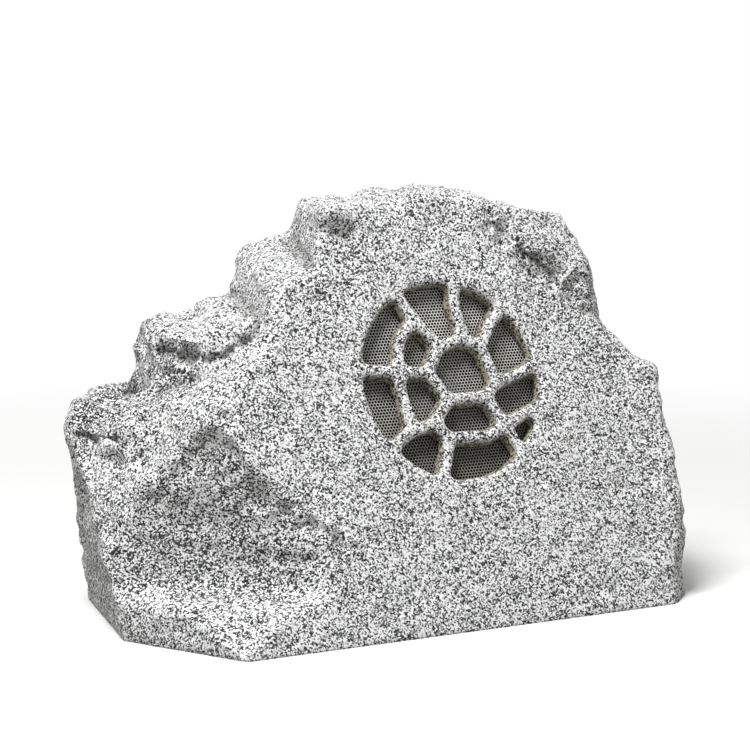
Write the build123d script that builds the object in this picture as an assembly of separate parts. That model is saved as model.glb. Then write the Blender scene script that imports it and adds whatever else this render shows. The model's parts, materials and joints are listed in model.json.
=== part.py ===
"""Rock-shaped garden loudspeaker: a hollow moulded boulder with a two-way driver behind a pierced front."""
import os
from math import asin, cos, hypot, pi, radians, sin, sqrt, tan

from build123d import *

os.makedirs("parts", exist_ok=True)

# Boulder. Z is up from the ground, the pierced face looks along -Y.
FRONT_LEAN = 21.5
FRONT_REACH = 129.0
BACK_LEAN = 17.0
BACK_REACH = 150.0
RIGHT_REACH = 207.0
LEFT_REACH = 194.0
CROWN_HEIGHT = 288.0
CROWN_FALL = 4.0
LEDGE_HIGH = 242.0
LEDGE_MID = 206.0
LEDGE_LOW = 140.0
SHOULDER_HEIGHT = 178.0
HOLLOW_TOP = 148.0
HOLLOW_TOE = 56.6
EDGE_ROUND = 7.0
HOLLOW_ROUND = 22.0
STOCK = 900.0
WALL = 6.0
GROOVE_RADIUS = 9.0
CHIPS = 130
CHIP_RADIUS = 46.0
CHIP_SPREAD = 0.35
CHIP_DEPTH = 3.0
CHIP_LIMIT = 1.15
CHIP_FOOT = 25.0
CHIP_CLEAR = 55.0
CALM_FACE = 0.98
HEART_HEIGHT = 60.0
GOLDEN_ANGLE = 137.5

# Pierced front: stone-shaped openings between ribs, in a round field.
FIELD_X = 30.0
FIELD_Z = 162.0
FIELD_RADIUS = 70.0
RIB_WIDTH = 8.0
STONE_ROUND = 3.5
BAFFLE_DEPTH = 12.0
BAFFLE_RADIUS = 92.0

# Underside: a rim, a landing for the base plate and its screws.
RIM = 5.0
LANDING_WIDTH = 16.0
LANDING_THICK = 6.0
PLATE_THICK = 4.0
PLATE_GAP = 0.8
PLATE_RECESS = 1.0
SEAL_THICK = 2.0
SEAL_MARGIN = 1.5
PLATE_RIB = 3.0
PLATE_RIB_HEIGHT = 7.0
PLATE_RIB_PITCH = 62.0
PLATE_RIB_INSET = 4.0
BASE_SCREWS = 8
BASE_SCREW = 4.0
BASE_SCREW_HEAD = 8.0
BASE_SCREW_LENGTH = 14.0
BASE_BOSS = 10.0
BASE_BOSS_RISE = 5.0
SCREW_CLEAR = 0.2

# Driver, measured along its axis from the boulder's front face.
MESH_THICK = 0.8
MESH_PITCH = 13.0
MESH_HOLE = 9.4
MESH_BORDER = 12.0
GASKET_THICK = 2.2
FRAME_RADIUS = 82.5
FRAME_SHEET = 1.2
FLANGE_WIDTH = 9.0
FRAME_STEP = 5.0
SURROUND_SEAT = 7.0
SHELF_RADIUS = 46.0
SHELF_WIDTH = 6.5
SHELF_DEPTH = 27.0
MOTOR_DEPTH = 14.0
SPOKES = 6
SPOKE_WIDTH = 15.0
WINDOW_MARGIN = 2.5
WINDOW_ROUND = 3.0
MOTOR_HOLE_CLEAR = 3.0
DRIVER_SCREWS = 4
DRIVER_SCREW_EDGE = 4.0
DRIVER_SCREW = 4.0
DRIVER_SCREW_HEAD = 7.0
DRIVER_SCREW_HEAD_HEIGHT = 2.6
DRIVER_SCREW_BITE = 7.0

# Moving parts of the driver and its suspension.
CONE_SHEET = 0.8
CONE_LIP = 4.0
CONE_FLARE = 3.0
CONE_NECK = 3.0
NECK_CLEAR = 1.0
FORMER_RISE = 1.5
SURROUND_SHEET = 0.8
SURROUND_ROLL = 8.0
SURROUND_RISE = 3.4
GLUE_GAP = 0.3
COIL_RADIUS = 12.5
FORMER_SHEET = 0.3
WINDING_THICK = 0.6
WINDING_LENGTH = 12.0
MAGNET_GAP_CLEAR = 0.5
SPIDER_SHEET = 0.6
SPIDER_WAVE = 1.1
SPIDER_WAVES = 4

# Magnet system.
TOP_PLATE_RADIUS = 40.0
TOP_PLATE_THICK = 5.0
MAGNET_RADIUS = 45.0
MAGNET_BORE = 22.0
MAGNET_THICK = 15.0
BACK_PLATE_THICK = 5.0
BACK_PLATE_CHAMFER = 2.0

# Tweeter on a post in front of the cone.
POST_RADIUS = 4.0
POST_STUB = 2.6
POST_STUB_LENGTH = 10.0
POST_CLEAR = 0.1
TWEETER_RADIUS = 16.0
TWEETER_DEPTH = 11.0
TWEETER_WALL = 1.5
TWEETER_SETBACK = 8.0
DOME_RADIUS = 9.5
DOME_RISE = 3.5
DOME_SHEET = 0.5
DOME_CLEAR = 0.4
SLUG_RADIUS = 9.0
SLUG_THICK = 5.0
FACEPLATE_THICK = 1.5

# Terminal tag on the driver's frame.
TAG_WIDTH = 22.0
TAG_HEIGHT = 10.0
TAG_THICK = 1.6
LUG_WIDTH = 4.8
LUG_LENGTH = 8.0
LUG_THICK = 0.8
LUG_SPACING = 12.0

# Crossover board on the base plate.
BOARD_X = 20.0
BOARD_Y = 30.0
BOARD_LENGTH = 112.0
BOARD_WIDTH = 70.0
BOARD_THICK = 1.6
BOARD_BOSS = 8.0
BOARD_BOSS_RISE = 10.0
BOARD_SCREW = 3.0
BOARD_SCREW_HEAD = 5.6
BOARD_SCREW_HEAD_HEIGHT = 2.2
BOARD_SCREW_BITE = 7.0
BOARD_SCREW_INSET = 6.0
COIL_BOBBIN_RADIUS = 21.0
COIL_BOBBIN_HEIGHT = 22.0
COIL_BOBBIN_BORE = 6.0
COIL_BOBBIN_WALL = 2.0
CAPACITOR_RADIUS = 8.0
CAPACITOR_LENGTH = 34.0
RESISTOR_LENGTH = 24.0
RESISTOR_SIDE = 9.0
INPUT_LENGTH = 22.0
INPUT_DEPTH = 12.0
INPUT_HEIGHT = 14.0
INPUT_HOLE = 5.0
INPUT_SCREW = 6.0
INPUT_PITCH = 10.0
INPUT_HOLE_DEPTH = 8.0
INPUT_HOLE_RISE = 5.0
PART_GAP = 14.0
WIRE_RADIUS = 0.5
WIRE_REACH = 4.0

# Cable gland low on the back.
GLAND_X = 60.0
GLAND_Z = 45.0
GLAND_THREAD = 16.0
GLAND_ACROSS = 22.0
GLAND_PAD = 36.0
GLAND_PAD_THICK = 8.0
GLAND_PAD_PROUD = 0.8
GLAND_POCKET = 30.0
GLAND_WASHER = 1.5
GLAND_FLANGE = 5.0
GLAND_NECK = 10.0
GLAND_TAIL = 8.0
GLAND_BORE = 10.0
GLAND_NUT = 5.0
GLAND_CAP_HEX = 12.0
GLAND_CAP_DOME = 6.0
GLAND_CAP_ENTRY = 8.5
GLAND_BUSH_BORE = 7.0
GLAND_CLEAR = 0.2

# A facet is the azimuth its outward normal faces (0 front, 90 right), its upward lean,
# and the reach from the axis at a height. A block is what its facets leave of the stock.
FRONT = (0, FRONT_LEAN, FRONT_REACH, 0)
BACK = (180, BACK_LEAN, BACK_REACH, 0)
LEFT = (-104, -9.5, LEFT_REACH, 0)
FOOT = (-64.5, 2, 204, 0)
SLOPE = (-68, 20, 172.4, HOLLOW_TOP)
CORNER = (42, 6, 209, 40)
CROWN = [
    FRONT,
    (86, 3, 203, 0),
    (75, 12, 156, 250),
    (130, 16, 176, 0),
    BACK,
    (-145, 18, 158, 0),
    (-105, 8, 50, 240),
    (62, 75, 84, CROWN_HEIGHT - CROWN_FALL),
    (-85, 86.5, -72, CROWN_HEIGHT),
    (-170, 45, 75, 258),
    CORNER,
]
SHOULDER = [
    FRONT,
    (84, 3, RIGHT_REACH, 60),
    (72, 46, 184, SHOULDER_HEIGHT),
    (130, 14, 176, 60),
    (135, 48, 128, 180),
    CORNER,
    BACK,
    (-90, 0, 40, 0),
    (0, 90, 0, 196),
]
HIGH_LEDGE = [
    FRONT,
    (-45, 24, 95, 220),
    (-105, 12, 88, 220),
    (-172, 12, 92, 190),
    BACK,
    (-70, 78, 60, LEDGE_HIGH),
    (-30, 40, 106, 222),
    (90, 0, -30, 0),
    (0, -90, 0, 110),
]
MID_LEDGE = [
    (-12, 22, 118, 20),
    (-28, -8, 96, 190),
    (-58, 2, 134, 190),
    (-105, 9, 160, 180),
    (-165, 16, 130, 100),
    BACK,
    (-80, 80, 110, LEDGE_MID),
    (90, 0, -40, 0),
    (0, -90, 0, 110),
]
LOW_LEDGE = [
    FRONT,
    SLOPE,
    FOOT,
    LEFT,
    (-140, 4, 186, 0),
    BACK,
    (-77, 79, 172, LEDGE_LOW),
    (90, 0, 0, 0),
]
BUTTRESS = [
    FRONT,
    (-84, 60, 106, 193),
    SLOPE,
    FOOT,
    LEFT,
    (90, 0, 0, 0),
    (180, 0, 20, 0),
]
BLOCKS = [CROWN, SHOULDER, HIGH_LEDGE, MID_LEDGE, LOW_LEDGE, BUTTRESS]
KNOB = [
    (-12, 10, 38, 275),
    (-5, -30, 28, 262),
    (-105, 4, 47, 275),
    (62, 32, -14, 272),
    (-60, 80, 40, 284),
    (180, 0, 10, 0),
]
LUMP = [
    (10, 15, 60, 255),
    (-33, -17, -33.6, 240),
    (75, 12, 157, 250),
    (62, 75, 86, CROWN_HEIGHT - CROWN_FALL),
    (-85, 86.5, -72, CROWN_HEIGHT),
    (-90, 0, -52, 0),
    (180, 0, 10, 0),
    (0, -90, 0, 190),
]
HOLLOW = [(143, 5, -150, HOLLOW_TOP), (148.5, -50, -130, HOLLOW_TOE)]

# Grooves under the ledges and beside the hollow, each from one point to another.
GROOVES = [
    ((-161, 2, 186), (-145, -23, 183)),
    ((-145, -23, 183), (-115, -31, 193)),
    ((-212, 39, 128), (-196, 1, 132)),
    ((-121, -96, 90), (-75, -111, 66)),
]

# Junctions of the rib network, across and up the front face from the field's centre.
# Those on the outside lie beyond the field, which trims the stones to a circle.
JUNCTIONS = {
    "rim_a": (-43, 86), "rim_b": (22, 94), "rim_c": (72, 64), "rim_d": (96, 14), "rim_e": (93, -14),
    "rim_f": (56, -80), "rim_g": (-31, -92), "rim_h": (-78, -57), "rim_i": (-95, 17),
    "ab": (-20, 44), "ai": (-42, 9), "bc": (16, 29), "be": (-4, 25), "cd": (29, 22), "dg": (36, -4),
    "ei": (-18, 8), "gj": (25, -13), "ij": (-5, -13), "jk": (36, -34), "hl": (-38, -32), "il": (-20, -29),
    "jm": (-10, -40), "bc_bend": (14, 56), "cd_bend": (40, 39), "ae_bend": (-33, 34), "jm_bend": (22, -41),
}
STONES = [
    ("rim_a", "ab", "ae_bend", "ai", "rim_i"),
    ("rim_a", "rim_b", "bc_bend", "bc", "be", "ab"),
    ("rim_b", "rim_c", "cd_bend", "cd", "bc", "bc_bend"),
    ("rim_c", "rim_d", "dg", "cd", "cd_bend"),
    ("ab", "be", "ei", "ai", "ae_bend"),
    ("be", "bc", "cd", "dg", "gj", "ij", "ei"),
    ("rim_d", "rim_e", "jk", "gj", "dg"),
    ("rim_i", "ai", "hl", "rim_h"),
    ("ai", "ei", "ij", "il", "hl"),
    ("ij", "gj", "jk", "jm_bend", "jm", "il"),
    ("rim_e", "rim_f", "jk"),
    ("rim_h", "hl", "il", "jm", "rim_g"),
    ("rim_f", "rim_g", "jm", "jm_bend", "jk"),
]

FRAME_OPENING = FRAME_RADIUS - FLANGE_WIDTH
DRIVER_SCREW_CIRCLE = FRAME_RADIUS - DRIVER_SCREW_EDGE
PLATE_TOP = PLATE_RECESS + PLATE_THICK
POCKET = PLATE_TOP + SEAL_THICK
LANDING_TOP = POCKET + LANDING_THICK


def hew(facets, inset=0.0):
    block = Box(2 * STOCK, 2 * STOCK, 2 * STOCK)
    for azimuth, lean, reach, height in facets:
        turn, tilt = radians(azimuth), radians(lean)
        outward = Vector(sin(turn) * cos(tilt), -cos(turn) * cos(tilt), sin(tilt))
        foot = Vector(reach * sin(turn), -reach * cos(turn), height)
        block = split(block, Plane(foot - outward * inset, z_dir=outward), keep=Keep.BOTTOM)
    return block


def above_ground(body):
    return split(body, Plane.XY, keep=Keep.TOP)


def rounded(facets):
    sharp = split(hew(facets, EDGE_ROUND), Plane.XY.offset(-2 * EDGE_ROUND), keep=Keep.TOP)
    return above_ground(offset(sharp, EDGE_ROUND, kind=Kind.ARC))


def core(inset):
    body = hew(CROWN, inset)
    for facets in BLOCKS[1:]:
        body += hew(facets, inset)
    return above_ground(body - hew(HOLLOW, -inset))


def footprint(inset):
    return section(core(inset), section_by=Plane.XY.offset(POCKET))


def slab(sketch, bottom, top):
    level = Pos(0, 0, bottom - POCKET) * sketch
    return extrude(level, amount=top - bottom, dir=(0, 0, 1))


def turned(*profile):
    outline = Polyline(*[(radius, 0, height) for radius, height in profile], close=True)
    return revolve(make_face(outline), Axis.Z)


def tube(outer, inner, bottom, top):
    return turned((inner, bottom), (outer, bottom), (outer, top), (inner, top))


def rod(radius, bottom, top):
    return Pos(0, 0, bottom) * Cylinder(radius, top - bottom, align=(Align.CENTER, Align.CENTER, Align.MIN))


def ring_of(count, radius):
    return [loc for loc in PolarLocations(radius, count, start_angle=180 / count)]


def groove_cutter(radius):
    cutters = []
    for start, end in GROOVES:
        path = Vector(end) - Vector(start)
        cutters.append(Plane(start, z_dir=path).location * rod(radius, 0, path.length))
        cutters += [Pos(start) * Sphere(radius), Pos(end) * Sphere(radius)]
    return Part() + cutters


# Boulder, fused from its blocks, with the undercut hollow taken out of its left front corner.
hollow = hew(HOLLOW)
crease = hollow.edges().filter_by(lambda edge: edge.center().Z < HOLLOW_TOP).sort_by(Axis.Y)[-1]
hollow = fillet(crease, HOLLOW_ROUND)
boulder = rounded(CROWN)
for facets in BLOCKS[1:] + [KNOB, LUMP]:
    boulder += rounded(facets)
boulder -= hollow
boulder -= groove_cutter(GROOVE_RADIUS)

# Chips knocked out of its rough faces, spread around its heart by the golden angle.
# The smooth front, the ground line and the gland's place keep clear of them, and a chip
# that would bite deeper than its own cap, in a corner, is left out.
face_out = Vector(0, -cos(radians(FRONT_LEAN)), sin(radians(FRONT_LEAN)))
gland_spot = Vector(GLAND_X, BACK_REACH, GLAND_Z)
rough = boulder
for i in range(CHIPS):
    turn, tilt = radians(GOLDEN_ANGLE * i), asin((i + 0.5) / CHIPS)
    ray = Axis((0, 0, HEART_HEIGHT), (sin(turn) * cos(tilt), -cos(turn) * cos(tilt), sin(tilt)))
    spot, outward = boulder.find_intersection_points(ray)[-1]
    calm = outward.dot(face_out) > CALM_FACE or (spot - gland_spot).length < CHIP_CLEAR
    if calm or spot.Z < CHIP_FOOT:
        continue
    radius = CHIP_RADIUS * (1 + CHIP_SPREAD * sin(i))
    chip = Pos(spot + outward * (radius - CHIP_DEPTH)) * Sphere(radius)
    cap = pi * CHIP_DEPTH ** 2 * (radius - CHIP_DEPTH / 3)
    if (boulder & chip).volume > CHIP_LIMIT * cap:
        continue
    chipped = rough - chip
    if chipped.is_valid and 0 < rough.volume - chipped.volume < CHIP_LIMIT * cap:
        rough = chipped

# Pierced front: every stone is its junctions' outline, drawn in by half a rib and rounded.
field_y = FIELD_Z * tan(radians(FRONT_LEAN)) - FRONT_REACH
face = Plane((FIELD_X, field_y, FIELD_Z), x_dir=(1, 0, 0), z_dir=face_out).location
stones = Sketch()
for corners in STONES:
    outline = make_face(Polyline(*[JUNCTIONS[name] for name in corners], close=True))
    stone = offset(outline, -RIB_WIDTH / 2 - STONE_ROUND, kind=Kind.INTERSECTION)
    stone &= Circle(FIELD_RADIUS - STONE_ROUND)
    stones += offset(stone, STONE_ROUND, kind=Kind.ARC)
openings = Pos(0, 0, -BAFFLE_DEPTH) * extrude(stones, amount=BAFFLE_DEPTH + EDGE_ROUND)
baffle = rod(BAFFLE_RADIUS, -BAFFLE_DEPTH, -WALL / 2)


# Shell: the boulder less its cavity, with the baffle, the landing for the base plate,
# its screw bosses and a flat pad for the gland.
cavity = split(core(WALL) - groove_cutter(GROOVE_RADIUS + WALL), Plane.XY.offset(LANDING_TOP), keep=Keep.TOP)
mouth = slab(footprint(RIM + LANDING_WIDTH), POCKET, LANDING_TOP)
pocket = slab(footprint(RIM), 0, POCKET)
screw_path = footprint(RIM + LANDING_WIDTH / 2).faces()[0].outer_wire()
screw_spots = [Pos(screw_path.position_at((i + 0.5) / BASE_SCREWS)) for i in range(BASE_SCREWS)]
bite = BASE_SCREW_LENGTH - PLATE_THICK - SEAL_THICK
base_hole = BASE_SCREW / 2 + SCREW_CLEAR
bosses = Part() + [spot * rod(BASE_BOSS / 2, 0, LANDING_THICK + BASE_BOSS_RISE) for spot in screw_spots]
pilots = Part() + [spot * rod(base_hole, -SCREW_CLEAR, bite + SCREW_CLEAR) for spot in screw_spots]

back_y = BACK_REACH - (GLAND_Z - GLAND_PAD / 2) * tan(radians(BACK_LEAN)) + GLAND_PAD_PROUD
gland = Plane((GLAND_X, back_y, GLAND_Z), x_dir=(-1, 0, 0), z_dir=(0, 1, 0)).location
thread = GLAND_THREAD / 2
pad = gland * rod(GLAND_PAD / 2, -GLAND_PAD_THICK, 0)
nut_pocket = gland * rod(GLAND_POCKET / 2, -GLAND_PAD_THICK - GLAND_POCKET, -GLAND_PAD_THICK)
gland_hole = gland * rod(thread + GLAND_CLEAR, -GLAND_PAD_THICK - WALL, WALL)

driver_spots = ring_of(DRIVER_SCREWS, DRIVER_SCREW_CIRCLE)
driver_hole = DRIVER_SCREW / 2 + SCREW_CLEAR
bite_top = -BAFFLE_DEPTH + DRIVER_SCREW_BITE
driver_pilot = rod(driver_hole, -BAFFLE_DEPTH, bite_top + SCREW_CLEAR)
driver_pilots = Part() + [spot * driver_pilot for spot in driver_spots]

shell = rough - cavity
shell += face * baffle
shell += bosses & core(WALL / 2)
shell += pad
shell -= [pocket, mouth, pilots, nut_pocket, gland_hole, face * openings, face * driver_pilots]

# Base plate in its pocket, ribbed inside, with posts for the crossover board.
plate = slab(footprint(RIM + PLATE_GAP), PLATE_RECESS, PLATE_TOP)
rib_area = slab(footprint(RIM + LANDING_WIDTH + PLATE_RIB_INSET), PLATE_TOP, PLATE_TOP + PLATE_RIB_HEIGHT)
rib_bars = GridLocations(PLATE_RIB_PITCH, PLATE_RIB_PITCH, 7, 1)
bars = Part() + [spot * Box(PLATE_RIB, 2 * STOCK, STOCK) for spot in rib_bars]
for side in (-1, 1):
    bars += Pos(0, side * PLATE_RIB_PITCH, 0) * Box(2 * STOCK, PLATE_RIB, STOCK)
plate += rib_area & bars
board_grid = GridLocations(BOARD_LENGTH - 2 * BOARD_SCREW_INSET, BOARD_WIDTH - 2 * BOARD_SCREW_INSET, 2, 2)
board_spots = [spot for spot in board_grid]
board_hole = BOARD_SCREW / 2 + SCREW_CLEAR
board_low = BOARD_BOSS_RISE + BOARD_THICK - BOARD_SCREW_BITE - SCREW_CLEAR
board_middle = Pos(BOARD_X, BOARD_Y, 0)
board_posts = [board_middle * spot * rod(BOARD_BOSS / 2, 0, BOARD_BOSS_RISE) for spot in board_spots]
board_pilots = [board_middle * spot * rod(board_hole, board_low, BOARD_BOSS_RISE) for spot in board_spots]
plate += [Pos(0, 0, PLATE_TOP) * post for post in board_posts]
under = -PLATE_THICK - SEAL_THICK
sink = (BASE_SCREW_HEAD - BASE_SCREW) / 2
sunk_hole = turned(
    (0, under - sink),
    (BASE_SCREW_HEAD / 2 + SCREW_CLEAR + sink, under - sink),
    (base_hole, under + sink),
    (base_hole, SEAL_THICK),
    (0, SEAL_THICK),
)
plate -= [spot * sunk_hole for spot in screw_spots]
plate -= [Pos(0, 0, PLATE_TOP) * pilot for pilot in board_pilots]

base_seal = slab(footprint(RIM + PLATE_GAP + SEAL_MARGIN), PLATE_TOP, POCKET)
base_seal -= slab(footprint(RIM + LANDING_WIDTH - SEAL_MARGIN), PLATE_TOP, POCKET)
base_seal -= [spot * rod(base_hole, under, SEAL_THICK) for spot in screw_spots]

base_screw = turned(
    (0, under),
    (BASE_SCREW_HEAD / 2, under),
    (BASE_SCREW / 2, under + sink),
    (BASE_SCREW / 2, bite),
    (0, bite),
)
base_screws = Part() + [spot * base_screw for spot in screw_spots]

# Driver: mesh and gasket on the baffle, then the pressed frame.
mesh_back = -BAFFLE_DEPTH - MESH_THICK
frame_front = mesh_back - GASKET_THICK
frame_back = frame_front - FRAME_SHEET
driver_bores = [spot * rod(driver_hole, frame_back - FRAME_SHEET, 0) for spot in driver_spots]

mesh_reach = FRAME_RADIUS - MESH_BORDER - MESH_HOLE / 2
rows = int(FRAME_RADIUS / MESH_PITCH) + 2
mesh_holes = Sketch()
for row in range(-rows, rows + 1):
    for column in range(-rows, rows + 1):
        across = (column + (row % 2) / 2) * MESH_PITCH
        up = row * MESH_PITCH * sqrt(3) / 2
        if hypot(across, up) < mesh_reach:
            mesh_holes += Pos(across, up) * RegularPolygon(MESH_HOLE / 2, 6)
mesh = Pos(0, 0, mesh_back) * extrude(Circle(FRAME_RADIUS) - mesh_holes, amount=MESH_THICK)
mesh -= driver_bores

gasket = tube(FRAME_RADIUS, FRAME_OPENING, frame_front, mesh_back)
gasket -= driver_bores

ledge = frame_front - FRAME_STEP
ledge_inside = FRAME_OPENING - SURROUND_SEAT
shelf = ledge - SHELF_DEPTH
motor = shelf - MOTOR_DEPTH
motor_back = motor - FRAME_SHEET
neck_radius = SHELF_RADIUS - SHELF_WIDTH
coil_inside = COIL_RADIUS + FORMER_SHEET
coil_outside = coil_inside + WINDING_THICK
motor_hole = coil_outside + MOTOR_HOLE_CLEAR
frame = turned(
    (FRAME_RADIUS, frame_front),
    (FRAME_OPENING, frame_front),
    (FRAME_OPENING, ledge),
    (ledge_inside, ledge),
    (SHELF_RADIUS, shelf),
    (neck_radius, shelf),
    (neck_radius, motor),
    (motor_hole, motor),
    (motor_hole, motor_back),
    (neck_radius + FRAME_SHEET, motor_back),
    (neck_radius + FRAME_SHEET, shelf - FRAME_SHEET),
    (SHELF_RADIUS + FRAME_SHEET, shelf - FRAME_SHEET),
    (ledge_inside + FRAME_SHEET, ledge - FRAME_SHEET),
    (FRAME_OPENING + FRAME_SHEET, ledge - FRAME_SHEET),
    (FRAME_OPENING + FRAME_SHEET, frame_back),
    (FRAME_RADIUS, frame_back),
)
window_out = ledge_inside - WINDOW_MARGIN
window_in = SHELF_RADIUS + FRAME_SHEET + WINDOW_MARGIN
windows = Circle(window_out) - Circle(window_in)
spoke = Pos(FRAME_RADIUS / 2, 0) * Rectangle(FRAME_RADIUS, SPOKE_WIDTH)
windows -= [Rot(0, 0, 360 * i / SPOKES) * spoke for i in range(SPOKES)]
windows = fillet(windows.vertices(), WINDOW_ROUND)
frame -= Pos(0, 0, shelf - SHELF_DEPTH) * extrude(windows, amount=2 * SHELF_DEPTH)
frame -= driver_bores

driver_screw = turned(
    (0, frame_back - DRIVER_SCREW_HEAD_HEIGHT),
    (DRIVER_SCREW_HEAD / 2, frame_back - DRIVER_SCREW_HEAD_HEIGHT),
    (DRIVER_SCREW_HEAD / 2, frame_back),
    (DRIVER_SCREW / 2, frame_back),
    (DRIVER_SCREW / 2, bite_top),
    (0, bite_top),
)
driver_screws = Part() + [spot * driver_screw for spot in driver_spots]


def sheet(top, thick):
    front = [(radius, 0, height) for radius, height in top]
    back = [(radius, 0, height - thick) for radius, height in top]
    return front, back


# Suspension and moving cone.
roll_in = ledge_inside - SURROUND_ROLL
roll_mid = ledge_inside - SURROUND_ROLL / 2
lip_in = roll_in - CONE_LIP
lip_top = ledge + SURROUND_SHEET
edge_out = FRAME_OPENING - GLUE_GAP
front, back = sheet(
    [
        (lip_in, lip_top),
        (roll_in, lip_top),
        (roll_mid, lip_top + SURROUND_RISE),
        (ledge_inside, lip_top),
        (edge_out, lip_top),
    ],
    SURROUND_SHEET,
)
surround = revolve(
    make_face(
        Line(front[0], front[1])
        + ThreePointArc(front[1], front[2], front[3])
        + Polyline(front[3], front[4], back[4], back[3])
        + ThreePointArc(back[3], back[2], back[1])
        + Polyline(back[1], back[0], front[0])
    ),
    Axis.Z,
)

cone_top = ledge - GLUE_GAP
cone_neck = shelf + SPIDER_SHEET + SPIDER_WAVE + NECK_CLEAR
neck_top = cone_neck + CONE_NECK
flare_radius = (lip_in + coil_inside) / 2
flare_height = (cone_top + neck_top) / 2 + CONE_FLARE
front, back = sheet(
    [(roll_in, cone_top), (lip_in, cone_top), (flare_radius, flare_height), (coil_inside, neck_top)],
    CONE_SHEET,
)
skirt = (coil_inside + CONE_SHEET, 0, cone_neck)
cone = revolve(
    make_face(
        Line(front[0], front[1])
        + ThreePointArc(front[1], front[2], front[3])
        + Polyline(front[3], (coil_inside, 0, cone_neck), skirt)
        + ThreePointArc(skirt, back[2], back[1])
        + Polyline(back[1], back[0], front[0])
    ),
    Axis.Z,
)

spider_in = coil_inside + GLUE_GAP
wave_span = (neck_radius - spider_in) / (2 * SPIDER_WAVES)
crests = [(spider_in, shelf + SPIDER_SHEET)]
for i in range(SPIDER_WAVES):
    start = spider_in + 2 * i * wave_span
    crests.append((start + wave_span / 2, shelf + SPIDER_SHEET + SPIDER_WAVE))
    crests.append((start + 3 * wave_span / 2, shelf + SPIDER_SHEET - SPIDER_WAVE))
crests.append((neck_radius, shelf + SPIDER_SHEET))
crests.append((SHELF_RADIUS - GLUE_GAP, shelf + SPIDER_SHEET))
front, back = sheet(crests, SPIDER_SHEET)
spider = revolve(make_face(Polyline(*front, *reversed(back), close=True)), Axis.Z)

gap_middle = motor_back - TOP_PLATE_THICK / 2
winding_low = gap_middle - WINDING_LENGTH / 2
former = tube(coil_inside, COIL_RADIUS, winding_low - FORMER_RISE, neck_top + FORMER_RISE)
winding = tube(coil_outside, coil_inside, winding_low, winding_low + WINDING_LENGTH)

# Magnet system behind the frame.
magnet_front = motor_back - TOP_PLATE_THICK
magnet_back = magnet_front - MAGNET_THICK
yoke_back = magnet_back - BACK_PLATE_THICK
pole_radius = COIL_RADIUS - MAGNET_GAP_CLEAR
top_plate = tube(TOP_PLATE_RADIUS, coil_outside + MAGNET_GAP_CLEAR, magnet_front, motor_back)
magnet = tube(MAGNET_RADIUS, MAGNET_BORE, magnet_back, magnet_front)
yoke = turned(
    (0, yoke_back),
    (TOP_PLATE_RADIUS - BACK_PLATE_CHAMFER, yoke_back),
    (TOP_PLATE_RADIUS, yoke_back + BACK_PLATE_CHAMFER),
    (TOP_PLATE_RADIUS, magnet_back),
    (pole_radius, magnet_back),
    (pole_radius, motor_back),
    (0, motor_back),
)
yoke -= rod(POST_STUB + POST_CLEAR, motor_back - POST_STUB_LENGTH - POST_CLEAR, motor_back)

# Tweeter on its post.
faceplate_front = mesh_back - TWEETER_SETBACK
dome_seat = faceplate_front - FACEPLATE_THICK - DOME_SHEET
cup_back = dome_seat - TWEETER_DEPTH
post = rod(POST_RADIUS, motor_back, cup_back)
post += rod(POST_STUB, motor_back - POST_STUB_LENGTH, motor_back)
cup = rod(TWEETER_RADIUS, cup_back, dome_seat)
cup -= rod(TWEETER_RADIUS - TWEETER_WALL, cup_back + TWEETER_WALL, dome_seat)
slug = rod(SLUG_RADIUS, cup_back + TWEETER_WALL, cup_back + TWEETER_WALL + SLUG_THICK)
ball = (DOME_RADIUS**2 + DOME_RISE**2) / (2 * DOME_RISE)
half_rise = sqrt(ball**2 - (DOME_RADIUS / 2) ** 2) - ball + DOME_RISE
dome_top = dome_seat + DOME_SHEET
front, back = sheet(
    [
        (TWEETER_RADIUS, dome_top),
        (DOME_RADIUS, dome_top),
        (DOME_RADIUS / 2, dome_top + half_rise),
        (0, dome_top + DOME_RISE),
    ],
    DOME_SHEET,
)
dome = revolve(
    make_face(
        Line(front[0], front[1])
        + ThreePointArc(front[1], front[2], front[3])
        + Line(front[3], back[3])
        + ThreePointArc(back[3], back[2], back[1])
        + Polyline(back[1], back[0], front[0])
    ),
    Axis.Z,
)
faceplate = tube(TWEETER_RADIUS, DOME_RADIUS + DOME_CLEAR, dome_top, faceplate_front)

# Terminal tag and its two lugs on the frame's neck.
tag_seat = neck_radius + FRAME_SHEET + GLUE_GAP
tag_height = (shelf + motor_back) / 2
tag = Pos(tag_seat + TAG_THICK / 2, 0, tag_height) * Box(TAG_THICK, TAG_WIDTH, TAG_HEIGHT)
lug = Pos(tag_seat + TAG_THICK + LUG_LENGTH / 2, 0, tag_height) * Box(LUG_LENGTH, LUG_THICK, LUG_WIDTH)
lugs = Part() + [Pos(0, side * LUG_SPACING / 2, 0) * lug for side in (-1, 1)]

# Crossover board and its parts.
board = Pos(0, 0, BOARD_THICK / 2) * Box(BOARD_LENGTH, BOARD_WIDTH, BOARD_THICK)
board -= [spot * rod(board_hole, 0, BOARD_THICK) for spot in board_spots]
board_place = Pos(BOARD_X, BOARD_Y, PLATE_TOP + BOARD_BOSS_RISE)
board_screw = turned(
    (0, BOARD_THICK - BOARD_SCREW_BITE),
    (BOARD_SCREW / 2, BOARD_THICK - BOARD_SCREW_BITE),
    (BOARD_SCREW / 2, BOARD_THICK),
    (BOARD_SCREW_HEAD / 2, BOARD_THICK),
    (BOARD_SCREW_HEAD / 2, BOARD_THICK + BOARD_SCREW_HEAD_HEIGHT),
    (0, BOARD_THICK + BOARD_SCREW_HEAD_HEIGHT),
)
board_screws = Part() + [spot * board_screw for spot in board_spots]

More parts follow.
